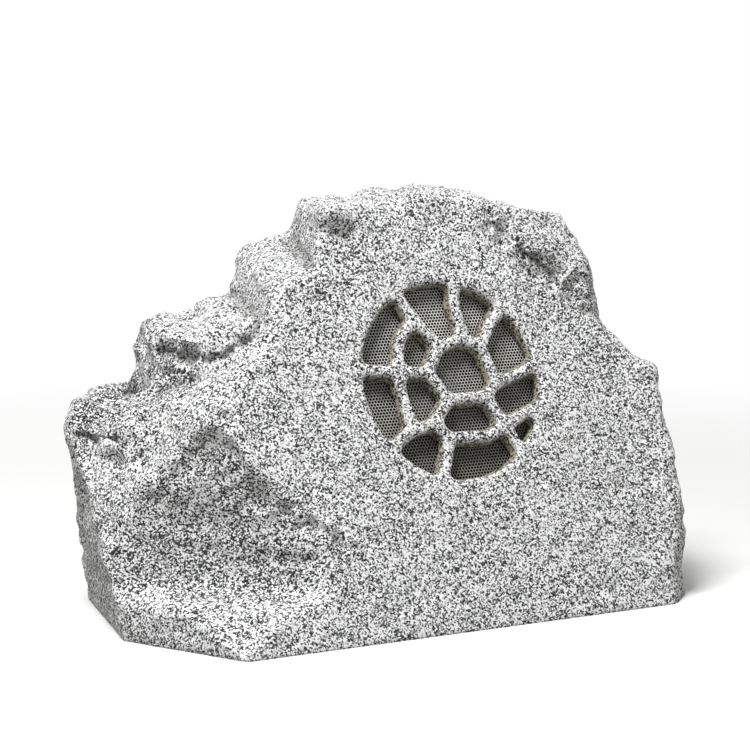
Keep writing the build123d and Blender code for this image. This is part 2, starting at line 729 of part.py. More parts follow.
bobbin_hub = COIL_BOBBIN_BORE + COIL_BOBBIN_WALL
bobbin = tube(COIL_BOBBIN_RADIUS, COIL_BOBBIN_BORE, 0, COIL_BOBBIN_HEIGHT)
wound = (COIL_BOBBIN_WALL, COIL_BOBBIN_HEIGHT - COIL_BOBBIN_WALL)
bobbin -= tube(COIL_BOBBIN_RADIUS, bobbin_hub, *wound)
inductor = tube(COIL_BOBBIN_RADIUS - COIL_BOBBIN_WALL, bobbin_hub, *wound)
bobbin_place = Pos(-BOARD_LENGTH / 2 + COIL_BOBBIN_RADIUS + PART_GAP / 2, 0, BOARD_THICK)


def with_wires(body, half_length, height):
    turn = half_length + WIRE_REACH
    for side in (-1, 1):
        run = Rot(0, 90, 0) * Cylinder(WIRE_RADIUS, WIRE_REACH)
        body += Pos(side * (turn - WIRE_REACH / 2), 0, height) * run
        body += Pos(side * turn, 0, height) * Sphere(WIRE_RADIUS)
        body += Pos(side * turn, 0, 0) * rod(WIRE_RADIUS, 0, height)
    return body


capacitor_height = CAPACITOR_RADIUS + GLUE_GAP
capacitor = Pos(0, 0, capacitor_height) * Rot(0, 90, 0) * Cylinder(CAPACITOR_RADIUS, CAPACITOR_LENGTH)
capacitor = with_wires(capacitor, CAPACITOR_LENGTH / 2, capacitor_height)
parts_x = bobbin_place.position.X + COIL_BOBBIN_RADIUS + PART_GAP + CAPACITOR_LENGTH / 2
capacitor_place = Pos(parts_x, 0, BOARD_THICK)

resistor_height = RESISTOR_SIDE / 2 + GLUE_GAP
resistor = Pos(0, 0, resistor_height) * Box(RESISTOR_LENGTH, RESISTOR_SIDE, RESISTOR_SIDE)
resistor = with_wires(resistor, RESISTOR_LENGTH / 2, resistor_height)
resistor_place = Pos(parts_x, -CAPACITOR_RADIUS - PART_GAP / 2 - RESISTOR_SIDE / 2, BOARD_THICK)

block = Pos(0, 0, INPUT_HEIGHT / 2) * Box(INPUT_LENGTH, INPUT_DEPTH, INPUT_HEIGHT)
for side in (-1, 1):
    entry = Pos(side * INPUT_PITCH / 2, INPUT_DEPTH / 2, INPUT_HOLE_RISE) * Rot(90, 0, 0)
    block -= entry * rod(INPUT_HOLE / 2, 0, INPUT_HOLE_DEPTH)
    well = INPUT_HEIGHT - INPUT_HOLE_RISE + INPUT_HOLE / 2
    block -= Pos(side * INPUT_PITCH / 2, 0, 0) * rod(INPUT_SCREW / 2, well, INPUT_HEIGHT)
block_place = Pos(parts_x, BOARD_WIDTH / 2 - INPUT_DEPTH / 2 - WIRE_REACH, BOARD_THICK)

# Cable gland through the pad.
hexagon = RegularPolygon(GLAND_ACROSS / 2, 6, major_radius=False)
gland_seat = GLAND_WASHER + GLAND_FLANGE
gland_tip = gland_seat + GLAND_NECK
washer = tube(GLAND_ACROSS / 2, thread + GLAND_CLEAR, 0, GLAND_WASHER)
gland_body = Pos(0, 0, GLAND_WASHER) * extrude(hexagon, amount=GLAND_FLANGE)
gland_body += rod(thread, -GLAND_PAD_THICK - GLAND_TAIL, gland_tip)
gland_body -= rod(GLAND_BORE / 2, -GLAND_PAD_THICK - GLAND_TAIL, gland_tip)
locknut = Pos(0, 0, -GLAND_PAD_THICK - GLAND_NUT) * extrude(hexagon, amount=GLAND_NUT)
locknut -= rod(thread + GLAND_CLEAR, -GLAND_PAD_THICK - GLAND_NUT, -GLAND_PAD_THICK)
bush = tube(GLAND_BORE / 2 - GLAND_CLEAR, GLAND_BUSH_BORE / 2, gland_seat, gland_tip)
cap_foot = gland_seat + GLUE_GAP
cap_shoulder = cap_foot + GLAND_CAP_HEX
cap_top = cap_shoulder + GLAND_CAP_DOME
cap = Pos(0, 0, cap_foot) * extrude(hexagon, amount=GLAND_CAP_HEX)
cap += turned(
    (0, cap_shoulder),
    (GLAND_ACROSS / 2, cap_shoulder),
    (GLAND_CAP_ENTRY / 2 + GLAND_CAP_DOME / 2, cap_top),
    (0, cap_top),
)
cap -= rod(thread + GLAND_CLEAR, cap_foot, gland_tip + GLUE_GAP)
cap -= rod(GLAND_CAP_ENTRY / 2, cap_foot, cap_top)

nodes = {
    "rock_shell": shell,
    "base_plate": plate,
    "base_seal": base_seal,
    "base_screws": base_screws,
    "grille_mesh": face * mesh,
    "driver_gasket": face * gasket,
    "driver_frame": face * frame,
    "driver_screws": face * driver_screws,
    "cone_surround": face * surround,
    "woofer_cone": face * cone,
    "spider": face * spider,
    "coil_former": face * former,
    "voice_coil": face * winding,
    "top_plate": face * top_plate,
    "driver_magnet": face * magnet,
    "pole_yoke": face * yoke,
    "tweeter_post": face * post,
    "tweeter_cup": face * cup,
    "tweeter_magnet": face * slug,
    "tweeter_dome": face * dome,
    "tweeter_faceplate": face * faceplate,
    "terminal_tag": face * tag,
    "terminal_lugs": face * lugs,
    "crossover_board": board_place * board,
    "board_screws": board_place * board_screws,
    "inductor_bobbin": board_place * bobbin_place * bobbin,
    "inductor_winding": board_place * bobbin_place * inductor,
    "capacitor": board_place * capacitor_place * capacitor,
    "resistor": board_place * resistor_place * resistor,
    "input_terminal": board_place * block_place * block,
    "gland_washer": gland * washer,
    "gland_body": gland * gland_body,
    "gland_locknut": gland * locknut,
    "gland_bush": gland * bush,
    "gland_cap": gland * cap,
}

# The part's origin is the middle of its overall box, on the ground.
box = shell.bounding_box()
for piece in nodes.values():
    box = box.add(piece.bounding_box())
centre = Pos(-box.center().X, -box.center().Y, 0)
for name, piece in nodes.items():
    export_step(centre * piece, f"parts/{name}.step")
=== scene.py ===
import json
from math import cos, pi, radians, sin, sqrt

import bmesh
import bpy
import numpy as np
from mathutils import Matrix, Vector, noise


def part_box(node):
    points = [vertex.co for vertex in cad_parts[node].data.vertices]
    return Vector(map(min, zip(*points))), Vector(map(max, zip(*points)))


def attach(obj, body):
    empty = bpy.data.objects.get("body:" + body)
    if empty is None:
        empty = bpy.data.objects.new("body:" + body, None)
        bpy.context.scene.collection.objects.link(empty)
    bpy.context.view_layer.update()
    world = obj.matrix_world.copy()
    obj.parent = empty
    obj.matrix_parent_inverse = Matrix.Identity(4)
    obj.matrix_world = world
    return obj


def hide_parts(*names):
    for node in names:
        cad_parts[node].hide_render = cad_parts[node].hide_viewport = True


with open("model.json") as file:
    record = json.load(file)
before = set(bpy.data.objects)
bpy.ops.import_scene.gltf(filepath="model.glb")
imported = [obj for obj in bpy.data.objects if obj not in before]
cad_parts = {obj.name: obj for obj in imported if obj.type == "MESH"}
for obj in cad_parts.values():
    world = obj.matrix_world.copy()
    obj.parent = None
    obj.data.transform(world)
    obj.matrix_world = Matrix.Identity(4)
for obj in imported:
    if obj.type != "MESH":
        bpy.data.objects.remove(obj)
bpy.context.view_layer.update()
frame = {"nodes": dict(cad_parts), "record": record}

# Boulder: a hollow casing of stone-filled polyester resin, cast in a mould taken from
# hewn granite. The outside keeps the mould's lumps, chipped rims and sharp creases, and
# the round field of stone-shaped openings is cast in with it.
MM = 0.001
VOXEL = 2.2 * MM
CAST_DEPTH = 12.4 * MM
FIELD_REACH = 75.0 * MM
FIELD_EDGE = 70.0 * MM, 78.0 * MM
SKIN_DEPTH = 9.5 * MM
BAFFLE_REACH = 40.0 * MM
GROUND_RIM = 0.8 * MM
GROUND_CALM = 2.0 * MM, 14.0 * MM
GLAND_BORE = 10.0 * MM
GLAND_CALM = 16.0 * MM, 24.0 * MM
GLAND_PAD_DEPTH = 14.0 * MM
GLAND_PAD_LIP = 2.0 * MM

# Relief of the cast skin: the size and the height of each kind in millimetres, the middle of
# its noise, and the places where it is calmer or rougher.
COBBLE, COBBLE_RELIEF, COBBLE_MIDDLE = 26.0, 2.6, 0.45
RIDGE, RIDGE_RELIEF, RIDGE_MIDDLE = 15.0, 1.5, 1.1
DIMPLE, DIMPLE_RELIEF = 22.0, 0.9
PITTING, PITTING_RELIEF = 6.0, 0.5
FRONT_CALM = 0.72
FRONT_FACING = 0.88, 0.99
FIELD_CALM = 0.8
LEDGE_ROUGHER = 0.6
LEDGE_LEFT = 70.0 * MM, 110.0 * MM
LEDGE_HEIGHT = 95.0 * MM, 125.0 * MM
EDGE_ROUNDS = 26
RIM_BULGE, RIM_ROUGHER = (0.3, 2.2), 0.5
CREASE_BULGE, CREASE_DEPTH = (0.3, 2.0), 1.4

# Ribs: how far their sides wander and lean in millimetres, and how their edges wear.
RIB_WOBBLE, RIB_WOBBLE_SIZE = 1.1, 13.0
RIB_DRAFT, RIB_DRAFT_START = 2.2, 1.0 * MM
RIB_FOOT = 0.5 * MM
RIB_WEAR, RIB_WEAR_ROUNDS, RIB_WEAR_BULGE = 0.8, 3, (0.1, 0.8)
OPENING_WALL = 1.5 * MM, 4.0 * MM

# Inside: coarser than the outside and a little thicker, away from the parts that seat on it.
INSIDE_SHARE = 0.1
INSIDE_STEP = 2.5 * MM
INSIDE_FOOT = 24.0 * MM
INSIDE_FIELD = 100.0 * MM
INSIDE_GLAND = 30.0 * MM

# Marks that the hewing left, each a path of points, its radius and its depth in millimetres.
GOUGES = [
    ([(-52, -27, 266), (-46, -40, 264)], 7, 2.0),
    ([(-158, -15, 186), (-143, -39, 183), (-124, -43, 186), (-105, -46, 193)], 5, 1.8),
    ([(-166, -8, 168), (-150, -42, 170)], 8, 3.0),
    ([(-206, 3, 120), (-204, 0, 112)], 8, 2.5),
    ([(-191, -36, 120), (-190, -33, 114)], 7, 2.5),
    ([(-132, -99, 62), (-131, -106, 40)], 5, 2.0),
    ([(-55, -60, 223), (-45, -59, 226)], 11, 1.6),
    ([(100, -56, 272), (125, -58, 263), (146, -56, 252)], 12, 3.0),
    ([(-108, 50, 206), (-118, 30, 204), (-128, 10, 203), (-124, -8, 203)], 9, 6.0),
    ([(-208, 30, 133), (-196, 24, 137), (-189, 12, 141), (-187, -6, 147)], 4.5, 5.0),
    ([(-51, -46, 269), (-36, -47, 267), (-18, -45, 264), (-7, -46, 259)], 5, 2.0),
    ([(-186, 30, 140), (-178, 6, 141)], 8, 2.5),
    ([(-165, -20, 140), (-150, -48, 143)], 9, 3.0),
    ([(-158, -86, 136), (-147, -93, 126), (-138, -99, 112), (-129, -102, 96), (-123, -108, 82)], 7, 2.5),
    ([(-163, -80, 134), (-171, -72, 120), (-181, -61, 104), (-191, -51, 90)], 6, 1.2),
    ([(95, -6, 285), (99, -36, 281), (118, -30, 278), (130, -13, 274)], 15, 5.0),
    ([(138, -43, 272), (146, -42, 270), (152, -46, 265)], 11, 5.5),
    ([(-32, 37, 269), (-32, 39, 263)], 8, 3.5),
]

# Ragged clefts under the ledges, beside the hollow and under the lump, each a path, how far it
# is filled and how much it is broken up, in millimetres.
CLEFTS = [
    ([(-162, -17, 186), (-146, -42, 183), (-116, -50, 193)], 2.4, 6.5),
    ([(-213, 20, 128), (-197, -18, 132)], 5.2, 4.0),
    ([(-122, -115, 90), (-76, -130, 66)], 1.5, 5.0),
    ([(80, -44, 268), (104, -52, 250), (132, -60, 225), (150, -64, 212)], 1.0, 5.0),
]
CLEFT_EDGE = 9.5, 12.5
CLEFT_GRAIN = 11.0

# Foot of the hollow, cut back along a plane near a line of points.
TOE_POINT = (-163, -76, 61)
TOE_FACE = (-0.59, -0.785, 0.12)
TOE_LINE = [(-200, -48, 45), (-163, -80, 48), (-122, -108, 48)]
TOE_REACH, TOE_CUT = 34.0, 15.0
TOE_EDGE = 0.1, 0.6
TOE_HEIGHT = 20.0 * MM, 42.0 * MM
TOE_ROOM_HEIGHT = 24.0 * MM, 36.0 * MM

# Painted shade: patches with more dark grains in the hollow, under the ledges and the lump and at the
# foot, each a path, its radius in millimetres and its strength.
SHADED_PATCHES = [
    ([(-160, 46, 146), (-195, 20, 140)], 24, 0.70),
    ([(-187, -9, 148), (-170, -22, 157)], 18, 0.55),
    ([(-163, -3, 176), (-160, -19, 166), (-156, -32, 160)], 15, 0.50),
    ([(-150, -92, 122), (-146, -93, 106), (-140, -97, 92)], 20, 0.20),
    ([(-64, -59, 224), (-56, -57, 243), (-30, -50, 255)], 24, 0.18),
    ([(-48, -62, 218), (-40, -60, 224)], 8, 0.45),
    ([(92, -51, 252), (118, -57, 236), (148, -63, 214)], 13, 0.15),
    ([(-185, -62, 84), (-160, -80, 70), (-125, -106, 72)], 24, 0.16),
    ([(-195, -52, 56), (-163, -80, 48), (-125, -108, 50)], 24, 0.45),
]
SHADED_PATCH_EDGE = 0.2, 0.7

# Humps that stand proud of the blocks, each a path, its radius and its height in millimetres.
BOSSES = [
    ([(-158, 22, 199), (-146, 6, 201)], 13, 4.0),
    ([(-150, 32, 201), (-138, 30, 203)], 10, 4.5),
    ([(-98, 42, 209), (-88, 30, 212)], 12, 3.5),
    ([(104, -56, 255), (124, -60, 243), (140, -62, 232)], 12, 4.0),
    ([(74, -43, 272), (88, -48, 262), (100, -52, 250)], 12, 3.0),
    ([(-150, -22, 201), (-130, -30, 203), (-112, -36, 204)], 8, 2.0),
    ([(-206, 25, 138), (-196, -2, 139)], 10, 2.5),
    ([(-198, -16, 132), (-196, -21, 132)], 13, 5.0),
    ([(-166, -80, 143), (-175, -70, 129), (-185, -59, 115), (-195, -49, 101)], 6, 2.0),
    ([(-148, -96, 138), (-138, -103, 124), (-128, -107, 108), (-119, -111, 92)], 7, 2.0),
    ([(-108, -62, 193), (-135, -66, 176), (-159, -70, 160)], 12, 2.5),
    ([(46, -36, 287), (30, -30, 288)], 14, 3.0),
    ([(-45, -42, 279), (-30, -42, 279)], 9, 2.5),
    ([(140, -55, 250), (150, -52, 240)], 12, 2.5),
    ([(-195, 47, 141), (-185, 53, 143), (-174, 60, 145), (-162, 71, 146)], 13, 9.0),
    ([(-55, 46, 248), (-46, 47, 250), (-36, 47, 251)], 10, 4.5),
    ([(-145, 48, 189), (-145, 51, 184)], 8, 2.8),
    ([(155, -61, 233), (158, -59, 221), (160, -60, 210), (163, -58, 199)], 12, 3.5),
    ([(196, -85, 156), (196, -97, 118), (195, -111, 85), (195, -119, 56)], 18, 4.5),
]

shell = frame["nodes"]["rock_shell"]
face_out = Vector(frame["record"]["behaviour"]["joints"][0]["axis"]).normalized()
sheet_low, sheet_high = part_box("grille_mesh")
sheet_middle = (Vector(sheet_low) + Vector(sheet_high)) / 2
cap_low, cap_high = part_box("gland_cap")
gland_middle = (Vector(cap_low) + Vector(cap_high)) / 2
pad_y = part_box("gland_washer")[0][1]


def applied(piece):
    """The mesh that a piece has with its modifiers in force."""
    depsgraph = bpy.context.evaluated_depsgraph_get()
    return bpy.data.meshes.new_from_object(piece.evaluated_get(depsgraph))


def new_piece(name, mesh):
    """A mesh object in the scene."""
    piece = bpy.data.objects.new(name, mesh)
    bpy.context.collection.objects.link(piece)
    return piece


boulder = new_piece("boulder_casting", shell.data.copy())
voxels = boulder.modifiers.new("voxels", "REMESH")
voxels.mode = "VOXEL"
voxels.voxel_size = VOXEL
casting = applied(boulder)
boulder.modifiers.clear()
boulder.data = casting

total = len(casting.vertices)
places = np.empty(total * 3)
casting.vertices.foreach_get("co", places)
places = places.reshape(-1, 3)
normals = np.empty(total * 3)
casting.vertices.foreach_get("normal", normals)
normals = normals.reshape(-1, 3)
links = np.empty(len(casting.edges) * 2, dtype=np.int64)
casting.edges.foreach_get("vertices", links)
links = links.reshape(-1, 2)

# Depth behind the front face and distance from the middle of the round field.
from_field = places - np.array(sheet_middle)
depth = CAST_DEPTH - from_field @ np.array(face_out)
across = np.linalg.norm(from_field - np.outer(from_field @ np.array(face_out), face_out), axis=1)
from_gland = np.hypot(places[:, 0] - gland_middle.x, places[:, 2] - gland_middle.z)
behind = places[:, 1] > pad_y - GLAND_PAD_DEPTH

# The outside skin is what can be reached from the crown without passing the ground rim,
# the back of the openings or the gland hole, some steps from point to point at a time.
FLOOD_STEPS = 8
barred = places[:, 2] < GROUND_RIM
barred |= (across < FIELD_REACH) & (depth > SKIN_DEPTH) & (depth < BAFFLE_REACH)
barred |= (from_gland < GLAND_BORE) & behind & (places[:, 1] < pad_y - GLAND_PAD_LIP)
open_links = links[~(barred[links[:, 0]] | barred[links[:, 1]])]
outside = np.zeros(total, dtype=bool)
outside[np.argmax(places[:, 2])] = True
reached = 0
while outside.sum() > reached:
    reached = outside.sum()
    for _ in range(FLOOD_STEPS):
        outside[open_links[outside[open_links[:, 0]], 1]] = True
        outside[open_links[outside[open_links[:, 1]], 0]] = True


def smoothed(values, rounds):
    """Values averaged over their neighbours, again and again."""
    share = np.bincount(links.ravel(), minlength=total)[:, None]
    for _ in range(rounds):
        near = np.empty_like(values)
        for axis in range(values.shape[1]):
            near[:, axis] = np.bincount(links[:, 0], values[links[:, 1], axis], total)
            near[:, axis] += np.bincount(links[:, 1], values[links[:, 0], axis], total)
        values = near / share
    return values


def fade(values, start, end):
    """Goes smoothly from 0 at start to 1 at end."""
    t = np.clip((values - start) / (end - start), 0, 1)
    return t * t * (3 - 2 * t)


def relief(size, shape):
    """Relief of a size in millimetres, from a noise shape, at every point of the outside."""
    found = np.zeros(total)
    for i in np.flatnonzero(outside):
        found[i] = shape(Vector(places[i]) / (size * MM))
    return found


def from_path(path):
    """Distance in millimetres from a path of points in millimetres."""
    nearest = np.full(total, 1e9)
    for start, end in zip(path, path[1:]):
        start, run = np.array(start) * MM, (np.array(end) - np.array(start)) * MM
        along = np.clip((places - start) @ run / (run @ run), 0, 1)
        nearest = np.minimum(nearest, np.linalg.norm(places - start - np.outer(along, run), axis=1))
    return nearest / MM


def near_path(path, radius):
    """1 on a path of points in millimetres, falling off to 0 with distance."""
    return np.exp(-(from_path(path) / radius) ** 2)


# Rims and creases are where the skin leaves its own smoothed form. All of the outside may move
# but for the ground rim and the gland's flat, and the smooth front moves less than the ledges.
rounded = smoothed(places.copy(), EDGE_ROUNDS)
bulge = np.einsum("ij,ij->i", places - rounded, normals) / MM
rim = fade(bulge, *RIM_BULGE)
crease = fade(-bulge, *CREASE_BULGE)
free = outside * fade(places[:, 2], *GROUND_CALM)
free *= 1 - (1 - fade(from_gland, *GLAND_CALM)) * behind
in_field = (1 - fade(across, *FIELD_EDGE)) * (depth < BAFFLE_REACH)
front = fade(normals @ np.array(face_out), *FRONT_FACING)
ledges = fade(-places[:, 0], *LEDGE_LEFT) * fade(places[:, 2], *LEDGE_HEIGHT)
rugged = (1 - FRONT_CALM * front) * (1 + LEDGE_ROUGHER * ledges)

cobbles = relief(COBBLE, lambda at: COBBLE_MIDDLE - noise.voronoi(at)[0][0])
ridges = relief(RIDGE, lambda at: noise.ridged_multi_fractal(at, 0.9, 2.1, 3, 1.0, 1.6) - RIDGE_MIDDLE)
dimples = relief(DIMPLE, lambda at: noise.fractal(at, 1.0, 2.1, 3))
pits = relief(PITTING, lambda at: noise.fractal(at, 0.9, 2.1, 2))
push = COBBLE_RELIEF * cobbles * rugged * (1 + RIM_ROUGHER * rim)
push += RIDGE_RELIEF * ridges * rugged
push += DIMPLE_RELIEF * dimples + PITTING_RELIEF * pits
push -= CREASE_DEPTH * crease
push *= 1 - FIELD_CALM * in_field
for path, radius, depth_mm in GOUGES:
    push -= depth_mm * near_path(path, radius)
for path, radius, height_mm in BOSSES:
    push += height_mm * near_path(path, radius)
ragged = relief(CLEFT_GRAIN, lambda at: noise.fractal(at, 0.8, 2.1, 3))
for path, fill, break_up in CLEFTS:
    in_cleft = (1 - fade(from_path(path), *CLEFT_EDGE)) * (1 - rim)
    push += in_cleft * (fill + break_up * ragged)
toe_zone = near_path(TOE_LINE, TOE_REACH)
places += normals * (push * free * MM)[:, None]
toe_face = np.array(TOE_FACE) / np.linalg.norm(TOE_FACE)
toe_over = np.clip((places - np.array(TOE_POINT) * MM) @ toe_face, 0, TOE_CUT * MM)
toe_cut = toe_over * free * fade(toe_zone, *TOE_EDGE) * fade(places[:, 2], *TOE_HEIGHT)
places -= np.outer(toe_cut, toe_face)

# The ribs' edges are worn round, and their sides wander a little, as cast stone does.
wander = relief(RIB_WOBBLE_SIZE, lambda at: noise.fractal(at, 1.0, 2.1, 2))
sideways = normals - np.outer(normals @ np.array(face_out), face_out)
ribs = in_field * (depth < CAST_DEPTH - RIB_FOOT)
flare = RIB_DRAFT * fade(depth, RIB_DRAFT_START, CAST_DEPTH) + RIB_WOBBLE * wander
places += sideways * (ribs * flare * MM)[:, None]
worn = smoothed(places.copy(), RIB_WEAR_ROUNDS)
places += (worn - places) * (ribs * fade(bulge, *RIB_WEAR_BULGE) * RIB_WEAR)[:, None]
inner = ~outside & (places[:, 2] > INSIDE_FOOT) & (across > INSIDE_FIELD) & (from_gland > INSIDE_GLAND)
toe_room = TOE_CUT * MM * toe_zone * fade(places[:, 2], *TOE_ROOM_HEIGHT)
places += normals * (inner * (INSIDE_STEP + toe_room))[:, None]
casting.vertices.foreach_set("co", places.ravel())

# Painted shade: a mask for the patches that get more dark grains, written with the crease and opening
# masks for the material.
patch_shade = np.zeros(total)
for path, radius, share in SHADED_PATCHES:
    patch_shade = np.maximum(patch_shade, share * fade(near_path(path, radius), *SHADED_PATCH_EDGE))
walls = in_field * fade(depth, *OPENING_WALL)
for name, values in (("crease", crease), ("patch_shade", patch_shade), ("opening", walls)):
    marks = casting.attributes.new(name, "FLOAT", "POINT")
    marks.data.foreach_set("value", values.astype(np.float32))
casting.polygons.foreach_set("use_smooth", np.ones(len(casting.polygons), dtype=bool))
casting.update()

inside = boulder.vertex_groups.new(name="inside")
inside.add([int(i) for i in np.flatnonzero(~outside)], 1.0, "REPLACE")
thin = boulder.modifiers.new("thin", "DECIMATE")
thin.vertex_group = "inside"
thin.ratio = float(outside.mean() + INSIDE_SHARE * (1 - outside.mean()))
boulder.data = applied(boulder)
boulder.modifiers.clear()
boulder.data.materials.clear()


def linear(code):
    """An sRGB hex colour as the linear colour that a shader takes."""
    channels = [int(code[i:i + 2], 16) / 255 for i in (1, 3, 5)]
    return [c / 12.92 if c < 0.04045 else ((c + 0.055) / 1.055) ** 2.4 for c in channels] + [1.0]


def add_node(tree, kind, inputs=(), **settings):
    """One shader node with its settings, its inputs set to values or linked to sockets."""
    node = tree.nodes.new("ShaderNode" + kind)
    for name, value in settings.items():
        setattr(node, name, value)
    for name, value in dict(inputs).items():
        if isinstance(value, bpy.types.NodeSocket):
            tree.links.new(value, node.inputs[name])
        else:
            node.inputs[name].default_value = value
    return node


def new_material(name, **constants):
    """A material with its shader, the shader's constant sockets and the piece's own coordinates."""
    material = bpy.data.materials.new(name)
    material.use_nodes = True
    shader = material.node_tree.nodes["Principled BSDF"]
    for socket, value in constants.items():
        shader.inputs[socket.replace("_", " ")].default_value = value
    place = add_node(material.node_tree, "TexCoord").outputs["Object"]
    return material, material.node_tree, shader, place


# Granite-look resin: a mosaic of quartz-white, grey and near-black grains in a matt binder,
# in clusters and faint clouds, with painted shade as more dark grains in the hollow, under the
# ledges and the lump, and as darkening in the creases, and dun in the openings.
GRAIN = 1.05 * MM
CLUSTER, CLUSTER_SHARE = 6.0 * MM, 0.3
CLOUD, CLOUD_SHARE = 30.0 * MM, 0.35
PATCH_SHADE_SHARE = 0.24
CREASE_SHADE_SHARE = 0.45
DARK_GRAIN, PALE_GRAIN = 0.595, 0.985
GRIT, GRIT_RELIEF = 1.6 * MM, 0.5 * MM
granite, tree, shader, place = new_material("cast_granite_resin", Roughness=0.86, IOR=1.5)
grain = add_node(tree, "TexVoronoi", {"Vector": place, "Scale": 1 / GRAIN, "Randomness": 1.0})
chance = add_node(tree, "SeparateColor", {"Color": grain.outputs["Color"]})
cluster = add_node(tree, "TexNoise", {"Vector": place, "Scale": 1 / CLUSTER, "Detail": 2.0})
cloud = add_node(tree, "TexNoise", {"Vector": place, "Scale": 1 / CLOUD, "Detail": 3.0,
                                    "Roughness": 0.6})
both = add_node(tree, "Math", {0: cluster.outputs[0], 1: CLUSTER_SHARE, 2: chance.outputs[0]},
                operation="MULTIPLY_ADD")
mixed = add_node(tree, "Math", {0: cloud.outputs[0], 1: CLOUD_SHARE, 2: both.outputs[0]},
                 operation="MULTIPLY_ADD")
# Painted shade: more dark grains where the shaded patches lie.
patch_shade_mark = add_node(tree, "Attribute", attribute_name="patch_shade")
patch_shaded = add_node(tree, "Math", {0: patch_shade_mark.outputs["Fac"], 1: -PATCH_SHADE_SHARE, 2: mixed.outputs[0]},
                   operation="MULTIPLY_ADD")
fleck = add_node(tree, "MapRange", {"Value": patch_shaded.outputs[0], "From Min": DARK_GRAIN,
                                    "From Max": PALE_GRAIN})
with_dark = add_node(tree, "Mix", {0: fleck.outputs[0], 6: linear("#222324"), 7: linear("#fcfcfc")},
                     data_type="RGBA")
# Painted shade: the creases are darkened towards a dark grey.
crease_mark = add_node(tree, "Attribute", attribute_name="crease")
crease_shade = add_node(tree, "Math", {0: crease_mark.outputs["Fac"], 1: CREASE_SHADE_SHARE}, operation="MULTIPLY")
shaded_creases = add_node(tree, "Mix", {0: crease_shade.outputs[0], 6: with_dark.outputs[2], 7: linear("#464542")},
                   data_type="RGBA")
hole = add_node(tree, "Attribute", attribute_name="opening")
dun = add_node(tree, "Mix", {0: hole.outputs["Fac"], 6: shaded_creases.outputs[2], 7: linear("#b5af9c")},
               data_type="RGBA", blend_type="MULTIPLY")
tree.links.new(dun.outputs[2], shader.inputs["Base Color"])
grit = add_node(tree, "TexNoise", {"Vector": place, "Scale": 1 / GRIT, "Detail": 3.0, "Roughness": 0.6})
rough = add_node(tree, "Bump", {"Strength": 0.7, "Distance": GRIT_RELIEF, "Height": grit.outputs[0]})
tree.links.new(rough.outputs[0], shader.inputs["Normal"])
boulder.data.materials.append(granite)
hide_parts("rock_shell")
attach(boulder, "enclosure")


# Grille: a flat disc of black steel sheet behind the openings, punched with holes in staggered
# rows and clamped under the driver's rim. Pale paint is rolled on its front face. The holes
# have six corners in the mesh, which is all that shows at their size.
PITCH = 2.4 * MM
ROW = PITCH * sqrt(3) / 2
HOLE = 2.2 * MM
SHEET_RADIUS = (sheet_high[0] - sheet_low[0]) / 2
SHEET = 0.45 * MM
PLAIN_EDGE = 6.0 * MM
WELD = 0.05 * MM
face_across = Vector((1, 0, 0))
face_up = face_out.cross(face_across)


def perforated_disc():
    """Six-cornered cells, each with a hole, cut to a circle and left plain near its edge."""
    sheet = bmesh.new()
    corner_at = {}

    def corner(x, y):
        reach = sqrt(x * x + y * y)
        if reach > SHEET_RADIUS:
            x, y = x * SHEET_RADIUS / reach, y * SHEET_RADIUS / reach
        key = (round(x / WELD), round(y / WELD))
        if key not in corner_at:
            corner_at[key] = sheet.verts.new((x, y, 0))
        return corner_at[key]

    rows = int(SHEET_RADIUS / ROW) + 2
    for row in range(-rows, rows + 1):
        for column in range(-rows, rows + 1):
            x = (column + (row % 2) / 2) * PITCH
            y = row * ROW
            reach = sqrt(x * x + y * y)
            if reach > SHEET_RADIUS + PITCH / 3:
                continue
            turns = [radians(30 + 60 * i) for i in range(6)]
            cell = [corner(x + PITCH / sqrt(3) * cos(a), y + PITCH / sqrt(3) * sin(a)) for a in turns]
            if reach > SHEET_RADIUS - PLAIN_EDGE:
                if len(set(cell)) == 6:
                    sheet.faces.new(cell)
                continue
            lip = [sheet.verts.new((x + HOLE / 2 * cos(a), y + HOLE / 2 * sin(a), 0)) for a in turns]
            for i in range(6):
                sheet.faces.new((cell[i - 1], cell[i], lip[i], lip[i - 1]))
    mesh = bpy.data.meshes.new("grille_sheet")
    sheet.to_mesh(mesh)
    sheet.free()
    return mesh


grille = new_piece("grille_sheet", perforated_disc())
stand = Matrix((face_across, face_up, face_out)).transposed().to_4x4()
grille.data.transform(Matrix.Translation(sheet_middle) @ stand)
thick = grille.modifiers.new("thick", "SOLIDIFY")
thick.thickness = SHEET
thick.offset = 0
grille.data = applied(grille)
grille.modifiers.clear()

# Rolled paint: pale and a little patchy on the webs between the holes, which stay black, with painted
# shade that darkens it towards the foot of the sheet.
PATCH, PATCH_RANGE = 4.0 * MM, (0.36, 0.58)
FOOT_SHADE_START, FOOT_SHADE_END = 50.0 * MM, -60.0 * MM
PAINT_EDGE = 0.10 * MM, 0.05 * MM
paint, tree, shader, place = new_material("rolled_pale_paint", Roughness=0.8, Specular_IOR_Level=0.2)
mottle = add_node(tree, "TexNoise", {"Vector": place, "Scale": 1 / PATCH, "Detail": 3.0})
patchy = add_node(tree, "MapRange", {"Value": mottle.outputs[0], "From Min": PATCH_RANGE[0],
                                     "From Max": PATCH_RANGE[1]})
tone = add_node(tree, "Mix", {0: patchy.outputs[0], 6: linear("#d6d4ce"), 7: linear("#fdfcf8")},
                data_type="RGBA")
height = add_node(tree, "VectorMath", {0: place, 1: face_up}, operation="DOT_PRODUCT")
middle = sheet_middle.dot(face_up)
